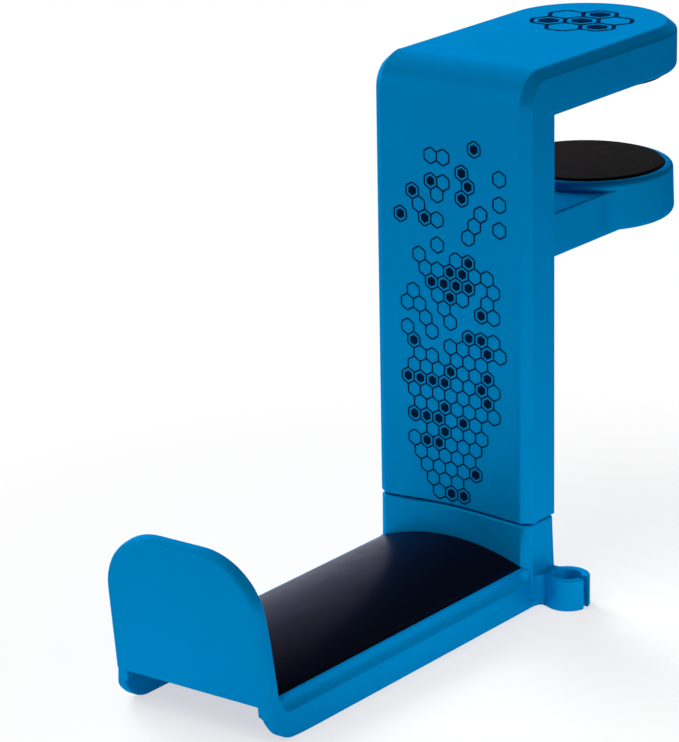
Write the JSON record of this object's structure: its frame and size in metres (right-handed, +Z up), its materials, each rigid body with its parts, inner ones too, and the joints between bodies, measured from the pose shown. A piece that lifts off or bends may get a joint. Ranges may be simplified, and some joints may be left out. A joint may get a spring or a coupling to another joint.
{
  "type": "headphone hanger",
  "caption": "Headphone hanger that clamps to a desk edge: an inverted-L frame, a screw-driven sliding jaw, and a turning padded cradle hook with a lip and a side cable clip.",
  "frame": {"origin": "clamp centre line, in the face of the upper pad that rests on the desk", "axes": "+X from the column over the desk, +Z up and square to the desk, so the hook points to -X as it stands"},
  "size_m": [0.1582, 0.0475, 0.1111],
  "materials": {
    "blue_plastic": "satin moulded, bright blue",
    "black_rubber": "matt, near black",
    "black_saddle": "smooth satin, near black",
    "acetal": "natural white",
    "steel": "turned",
    "zinc_plated": "zinc plated",
    "brass": "machined"
  },
  "bodies": {
    "frame": {"outer_frame": "blue_plastic", "inner_cover": "blue_plastic", "cover_screws": "zinc_plated", "top_pad": "black_rubber", "bottom_plate": "blue_plastic", "plate_screws": "zinc_plated", "upper_bush": "acetal", "lower_bush": "acetal", "thrust_washer": "steel"},
    "hook": {"hook": "blue_plastic", "cradle_pad": "black_saddle", "drive_hub": "brass", "seam_washer": "acetal", "wave_washer": "steel", "retaining_ring": "zinc_plated", "hook_cap": "blue_plastic", "lead_screw": "steel"},
    "jaw": {"jaw": "blue_plastic", "jaw_nut": "brass", "jaw_pad": "black_rubber"}
  },
  "joints": [
    {"name": "hook_turn", "type": "hinge", "parent": "frame", "child": "hook", "pos_m": [-0.045, 0, -0.0822], "axis": [0, 0, 1], "range_deg": [-3330, 3600]},
    {"name": "jaw_slide", "type": "slide", "parent": "frame", "child": "jaw", "axis": [0, 0, 1], "range_m": [-0.02, 0.0185]}
  ],
  "couplings": [
    {"joint": "jaw_slide", "follows": "hook_turn", "m_per_rad": -0.0003183}
  ]
}
